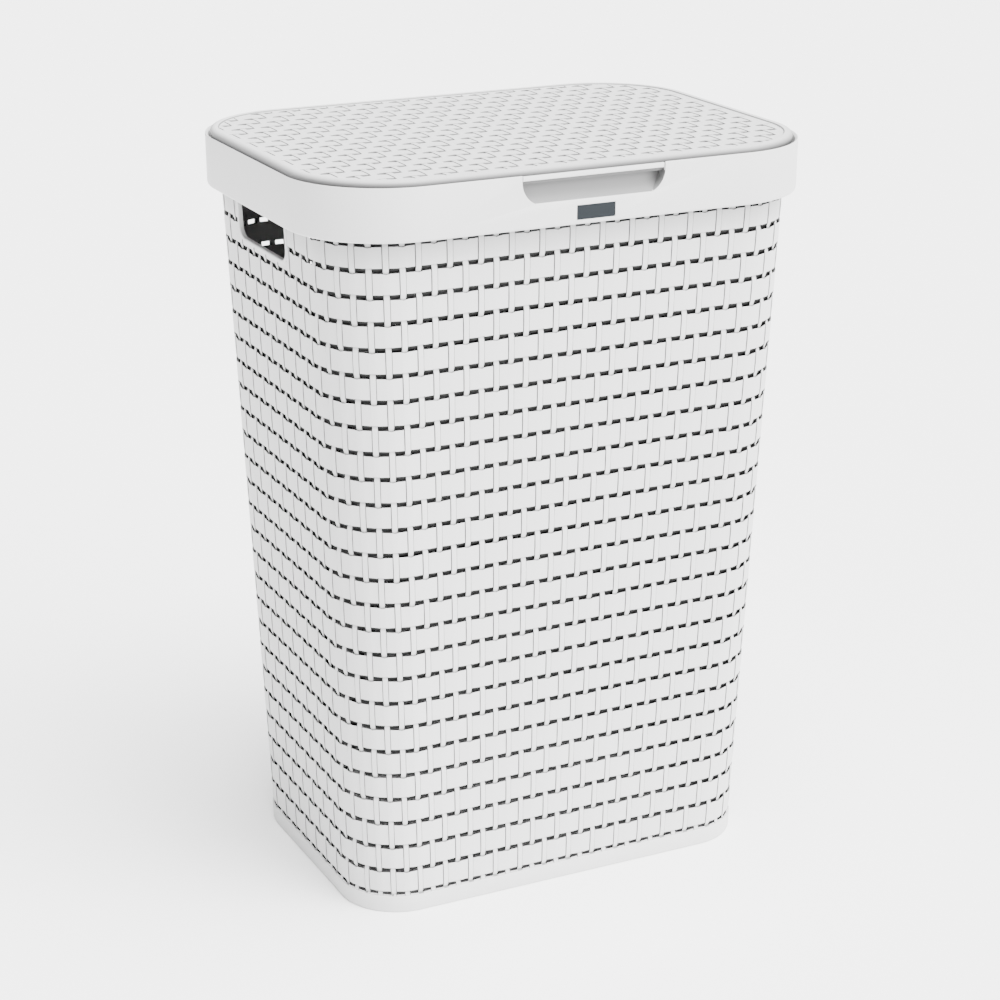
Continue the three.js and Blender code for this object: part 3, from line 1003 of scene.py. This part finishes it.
def lid_relief_tool():
    """Everything over the lid's woven relief, as a solid to cut away."""
    columns = relief_columns()
    rows = relief_rows()
    points = []
    for band, v, level in rows:
        y = LID_FIRST_ROW + LID_ROW * (band + 0.5 + v)
        for column, u, kind, depth in columns:
            x = LID_FIRST_COLUMN + LID_COLUMN * (column + u)
            near, beside = (column + 1, u - 1) if u > 0.5 else (column, u)
            z = lid_height(x, y, near, beside, band, v, kind, level != "band")
            if level == "pocket" and depth and pocket_fits(column, band):
                z = LID_TOP - depth * (LID_FRONT_SHARE if band == LID_FRONT_BAND else 1)
            points.append((x, y, z))
    faces = block_above(points, len(columns), len(rows), LID_TOP + RELIEF_TOOL_HEIGHT)
    return solid("relief_tool", (points, faces))


def hinge_boss(x):
    """The block that a hinge pin's bore goes through, at a place along the hinge line."""
    low = (x - BOSS_HALF, BOSS_FRONT, BOSS_BOTTOM)
    return box_object("boss", low, (x + BOSS_HALF, BOSS_REAR, BOSS_TOP))


def lug_pocket(x):
    """The room in a boss for the collar's lug."""
    low = (x - LUG_POCKET_HALF, LUG_POCKET_FRONT, LUG_POCKET_BOTTOM)
    return box_object("pocket", low, (x + LUG_POCKET_HALF, LUG_POCKET_REAR, LUG_POCKET_TOP))


def pin_bore(x):
    """The round bore through a boss, a little longer than the boss."""
    circle = []
    for step in range(BORE_STEPS):
        angle = step / BORE_STEPS * 2 * math.pi
        circle.append((HINGE_Y + BORE_RADIUS * math.cos(angle), HINGE_Z + BORE_RADIUS * math.sin(angle)))
    half = BOSS_HALF + BORE_OVERSHOOT
    return solid("bore", prism(circle, x - half, x + half, lambda y, z, t: (t, y, z)))


def lid_top():
    """The whole lid: shape, woven relief, rolled edge, hinge bosses, lug pockets and pin bores."""
    lid = lid_shape()
    combine(lid, lid_relief_tool(), "DIFFERENCE")
    combine(lid, lid_rim(), "UNION")
    for x in (-HINGE_X, HINGE_X):
        combine(lid, hinge_boss(x), "UNION")
        combine(lid, lug_pocket(x), "DIFFERENCE")
        combine(lid, pin_bore(x), "DIFFERENCE")
    return lid


def grip_flap():
    """The flap in front of the lid's skirt, with eased edges and a web back towards the skirt."""
    face = -COLLAR_HALF[1] + FLAP_SET_BACK
    back = face + FLAP_THICKNESS
    web_end = -LID_HALF[1] - FLAP_WEB_END
    web_low, web_high = FLAP_WEB
    outline = [
        (face + 0.5, FLAP_BOTTOM),
        (back - 0.4, FLAP_BOTTOM),
        (back, FLAP_BOTTOM + 0.4),
        (back, FLAP_BOTTOM + web_low),
        (web_end, FLAP_BOTTOM + web_low),
        (web_end, FLAP_BOTTOM + web_high),
        (back, FLAP_BOTTOM + web_high + 0.2),
        (back - 0.5, FLAP_TOP),
        (face + 0.7, FLAP_TOP),
        (face + 0.2, FLAP_TOP - 0.2),
        (face, FLAP_TOP - 0.7),
        (face, FLAP_BOTTOM + 0.5),
    ]
    half = SCOOP_HALF_WIDTH - FLAP_SIDE_GAP
    shape = prism(outline, SCOOP_X - half, SCOOP_X + half, lambda y, z, x: (x, y, z))
    return solid("grip_flap", shape, FLAP_SMOOTH_ANGLE)


# ---------------------------------------------------------------- materials


def plastic(name, colour, variation, roughness, grain, gloss=0.4):
    """Moulded polypropylene: a faint cloudiness in its colour, and a fine satin grain."""
    material = bpy.data.materials.new(name)
    material.use_nodes = True
    nodes = material.node_tree.nodes
    links = material.node_tree.links
    shader = nodes["Principled BSDF"]
    shader.inputs["Specular IOR Level"].default_value = gloss

    place = nodes.new("ShaderNodeTexCoord")
    clouds = nodes.new("ShaderNodeTexNoise")
    clouds.inputs["Scale"].default_value = 9.0
    clouds.inputs["Detail"].default_value = 3.0
    links.new(place.outputs["Object"], clouds.inputs["Vector"])
    tint = nodes.new("ShaderNodeValToRGB")
    tint.color_ramp.elements[0].position = 0.3
    tint.color_ramp.elements[1].position = 0.7
    tint.color_ramp.elements[0].color = (*[c * (1 - variation) for c in colour], 1)
    tint.color_ramp.elements[1].color = (*colour, 1)
    links.new(clouds.outputs["Fac"], tint.inputs["Fac"])
    links.new(tint.outputs["Color"], shader.inputs["Base Color"])

    fine = nodes.new("ShaderNodeTexNoise")
    fine.inputs["Scale"].default_value = 1400.0
    fine.inputs["Detail"].default_value = 2.0
    links.new(place.outputs["Object"], fine.inputs["Vector"])
    sheen = nodes.new("ShaderNodeMapRange")
    sheen.inputs["To Min"].default_value = roughness - 0.05
    sheen.inputs["To Max"].default_value = roughness + 0.05
    links.new(fine.outputs["Fac"], sheen.inputs["Value"])
    links.new(sheen.outputs["Result"], shader.inputs["Roughness"])
    bump = nodes.new("ShaderNodeBump")
    bump.inputs["Strength"].default_value = grain
    bump.inputs["Distance"].default_value = 0.0001
    links.new(fine.outputs["Fac"], bump.inputs["Height"])
    links.new(bump.outputs["Normal"], shader.inputs["Normal"])
    return material


def paint_shade_by_height(material, low, high, darkest, lightest=None, bend=1.0):
    """Paints shade into a white plastic's colour between two heights: darkest at and past low, lightest at
    and past high.

    Without a lightest shade the plastic's own is used. A larger bend keeps it dark for longer.
    """
    nodes = material.node_tree.nodes
    links = material.node_tree.links
    shader = nodes["Principled BSDF"]
    colour = shader.inputs["Base Color"].links[0].from_socket
    place = nodes.new("ShaderNodeTexCoord")
    parts = nodes.new("ShaderNodeSeparateXYZ")
    links.new(place.outputs["Object"], parts.inputs["Vector"])
    fade = nodes.new("ShaderNodeMapRange")
    fade.inputs["From Min"].default_value = low * MM
    fade.inputs["From Max"].default_value = high * MM
    links.new(parts.outputs["Z"], fade.inputs["Value"])
    bent = nodes.new("ShaderNodeMath")
    bent.operation = "POWER"
    bent.inputs[1].default_value = bend
    links.new(fade.outputs["Result"], bent.inputs[0])
    level = nodes.new("ShaderNodeMapRange")
    level.inputs["To Min"].default_value = darkest / WHITE_SHADE
    level.inputs["To Max"].default_value = (lightest or WHITE_SHADE) / WHITE_SHADE
    links.new(bent.outputs["Value"], level.inputs["Value"])
    mix = nodes.new("ShaderNodeMixRGB")
    mix.blend_type = "MULTIPLY"
    mix.inputs["Fac"].default_value = 1.0
    links.new(colour, mix.inputs["Color1"])
    links.new(level.outputs["Result"], mix.inputs["Color2"])
    links.new(mix.outputs["Color"], shader.inputs["Base Color"])


def paint(obj, material):
    """Gives an object one material only."""
    obj.data.materials.clear()
    obj.data.materials.append(material)


# ---------------------------------------------------------------- the materials' values

WHITE_SHADE = 0.62
WHITE_FINISH = {"variation": 0.015, "roughness": 0.46, "grain": 0.25}
INSIDE_FINISH = {"variation": 0.03, "roughness": 0.6, "grain": 0.25}


def grey(shade):
    return (shade, shade, shade)


WHITE = plastic("white_plastic", grey(WHITE_SHADE), **WHITE_FINISH)
# Painted shade: a mid grey on the faces that look into the basket, standing in for the shade inside it.
INSIDE_PAINTED_SHADE = plastic("inside_painted_shade", grey(0.34), **INSIDE_FINISH)
# Painted shade: near-black on the slots' walls and the grooves' bottoms, where shadow falls.
RECESS_PAINTED_SHADE = plastic("recess_painted_shade", grey(0.028), variation=0.03, roughness=0.8, grain=0.1, gloss=0.05)
# Painted shade: dark grey in the creases and in the lid's pockets.
CREASE_PAINTED_SHADE = plastic("crease_painted_shade", grey(0.2), **INSIDE_FINISH)
LABEL = plastic("label", (0.016, 0.019, 0.022), variation=0.1, roughness=0.5, grain=0.1, gloss=0.08)

# Painted shade, darker by height: on the rolled edge where it turns under, in the scoop at its top and on the
# wall under the collar.
ROLL_PAINTED_SHADE = plastic("rolled_edge_painted_shade", grey(WHITE_SHADE), **WHITE_FINISH)
paint_shade_by_height(ROLL_PAINTED_SHADE, low=590.0, high=RIM_CREST[1] + 0.25, darkest=0.12, bend=2.6)
SCOOP_PAINTED_SHADE = plastic("scoop_painted_shade", grey(WHITE_SHADE), **WHITE_FINISH)
paint_shade_by_height(SCOOP_PAINTED_SHADE, low=583.0, high=569.6, darkest=0.13, lightest=0.27)
WALL_PAINTED_SHADE = plastic("wall_painted_shade", grey(WHITE_SHADE), **WHITE_FINISH)
paint_shade_by_height(WALL_PAINTED_SHADE, low=552.0, high=528.0, darkest=0.4)


# ---------------------------------------------------------------- painting faces

# How far past a surface a face still counts as part of it
PAINT_MARGIN = 0.2


def add_material(obj, material):
    """Gives an object one more material, and returns its number."""
    obj.data.materials.append(material)
    return len(obj.data.materials) - 1


def paint_wall(obj):
    """Paints shade by depth: near-black on the slots' walls and the grooves' bottoms, mid grey on the faces
    that look into the basket, and dark grey in the creases.
    """
    inside = add_material(obj, INSIDE_PAINTED_SHADE)
    recess = add_material(obj, RECESS_PAINTED_SHADE)
    crease = add_material(obj, CREASE_PAINTED_SHADE)
    inside_from = WALL_THICKNESS - INNER_RELIEF - PAINT_MARGIN
    recess_from = GROOVE_DEPTH - PAINT_MARGIN
    top = FLANGE_UNDERSIDE - 1
    steepest = math.cos(math.radians(50))
    for polygon in obj.data.polygons:
        x, y, z = polygon.center / MM
        depth = depth_inside(x, y, *wall_size(z))
        if depth > inside_from:
            polygon.material_index = inside
        elif depth > recess_from:
            polygon.material_index = recess
        elif depth > -RELIEF and z < top:
            out = outward_direction(x, y, *wall_size(z))
            if polygon.normal.dot(out) < steepest:
                polygon.material_index = crease


def in_pocket(x, y, z):
    """Whether a place on the lid's top is in one of its pockets."""
    below_top = 0.25
    column, across = divmod((x - LID_FIRST_COLUMN) / LID_COLUMN, 1)
    band, along = divmod((y - LID_FIRST_ROW) / LID_ROW + 0.5, 1)
    in_row = abs(along - 0.5) < LID_POCKET_LENGTH / 2 / LID_ROW
    in_gap = STAKE_HALF < across < 1 - STAKE_HALF
    return in_row and in_gap and z < LID_TOP - below_top and pocket_fits(column, band - 1)


def paint_lid(obj):
    """Paints shade: dark grey in the lid's pockets and creases, and on its rolled edge a shade that deepens
    where the edge turns under.
    """
    crease = add_material(obj, CREASE_PAINTED_SHADE)
    roll = add_material(obj, ROLL_PAINTED_SHADE)
    underside = LID_TOP - LID_PANEL
    skirt_outside = LID_SKIRT - 0.5
    # A face's normal points up by less than this where it is a crease.
    steep_in_field = 0.6
    steep_on_edge = 0.85
    for polygon in obj.data.polygons:
        x, y, z = polygon.center / MM
        inset = inset_distance(x, y)
        steep = steep_in_field if inset > RIM_INNER else steep_on_edge
        if inset < RIM_CREST[0]:
            if inset < skirt_outside or z > underside:
                polygon.material_index = roll
        elif z >= underside + 0.1 and (in_pocket(x, y, z) or polygon.normal.z < steep):
            polygon.material_index = crease


def paint_scoop(obj):
    """Paints shade into the finger scoop's hollow, darkest at its top under the flap."""
    hollow = add_material(obj, SCOOP_PAINTED_SHADE)
    face = -COLLAR_HALF[1]
    for polygon in obj.data.polygons:
        x, y, z = polygon.center / MM
        across = abs(x - SCOOP_X) < SCOOP_HALF_WIDTH + PAINT_MARGIN
        behind = face + SCOOP_LIP < y < face + SCOOP_DEEPEST + PAINT_MARGIN
        level = SCOOP_BOTTOM - SCOOP_LIP < z < LEDGE_TOP + PAINT_MARGIN
        if across and behind and level and polygon.normal.y < 0.2:
            polygon.material_index = hollow


# ---------------------------------------------------------------- floor and light


def add_floor():
    """A wide, matt, nearly white floor. Its size is in metres."""
    half = 30.0
    mesh = bpy.data.meshes.new("floor")
    corners = [(-half, -half, 0), (half, -half, 0), (half, half, 0), (-half, half, 0)]
    mesh.from_pydata(corners, [], [(0, 1, 2, 3)])
    floor = bpy.data.objects.new("floor", mesh)
    bpy.context.scene.collection.objects.link(floor)
    material = bpy.data.materials.new("floor")
    material.use_nodes = True
    shader = material.node_tree.nodes["Principled BSDF"]
    shader.inputs["Base Color"].default_value = (*grey(0.95), 1)
    shader.inputs["Roughness"].default_value = 0.9
    shader.inputs["Specular IOR Level"].default_value = 0.1
    floor.data.materials.append(material)


def add_sun(name, azimuth, elevation, strength, spread):
    """A soft light from far away. Azimuth 0 is in front of the hamper, and 90 is to its right."""
    data = bpy.data.lights.new(name, "SUN")
    data.energy = strength
    data.angle = math.radians(spread)
    sun = bpy.data.objects.new(name, data)
    bpy.context.scene.collection.objects.link(sun)
    turn = math.radians(azimuth)
    lift = math.radians(elevation)
    source = Vector((math.cos(lift) * math.sin(turn), -math.cos(lift) * math.cos(turn), math.sin(lift)))
    sun.rotation_euler = source.to_track_quat("Z", "Y").to_euler()


def add_light():
    """An even white surrounding, a strong light from above and a weaker one from the front right."""
    world = bpy.data.worlds.new("studio")
    world.use_nodes = True
    background = world.node_tree.nodes["Background"]
    background.inputs["Color"].default_value = (*grey(1), 1)
    background.inputs["Strength"].default_value = 0.6
    bpy.context.scene.world = world
    add_sun("key", azimuth=20, elevation=74, strength=13.0, spread=50)
    add_sun("front", azimuth=35, elevation=22, strength=6.0, spread=50)


# ---------------------------------------------------------------- the build


def add_piece(obj, body, replaced, material=WHITE):
    """Makes an object the visual of a CAD piece, moving with a body."""
    paint(obj, material)
    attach(obj, body)
    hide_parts(replaced)


wall = weave_wall()
cut_hand_holes(wall)
cut_scoop_notch(wall)
add_piece(wall, "basket", "basket_shell", WALL_PAINTED_SHADE)
add_piece(plinth_tray(), "basket", "base_tray")
collar = collar_band()
add_piece(collar, "basket", "collar_frame")
for side, word in ((-1, "left"), (1, "right")):
    add_piece(hand_hole_rim(side, f"hole_rim_{word}"), "basket", f"hand_hole_rim_{word}")
lid = lid_top()
add_piece(lid, "lid", "lid_panel")
add_piece(grip_flap(), "lid", "lid_grip_flap")

for node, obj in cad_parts.items():
    if not obj.hide_render:
        paint(obj, LABEL if node == "label_plate" else WHITE)

paint_wall(wall)
paint_scoop(collar)
paint_lid(lid)
add_floor()
add_light()
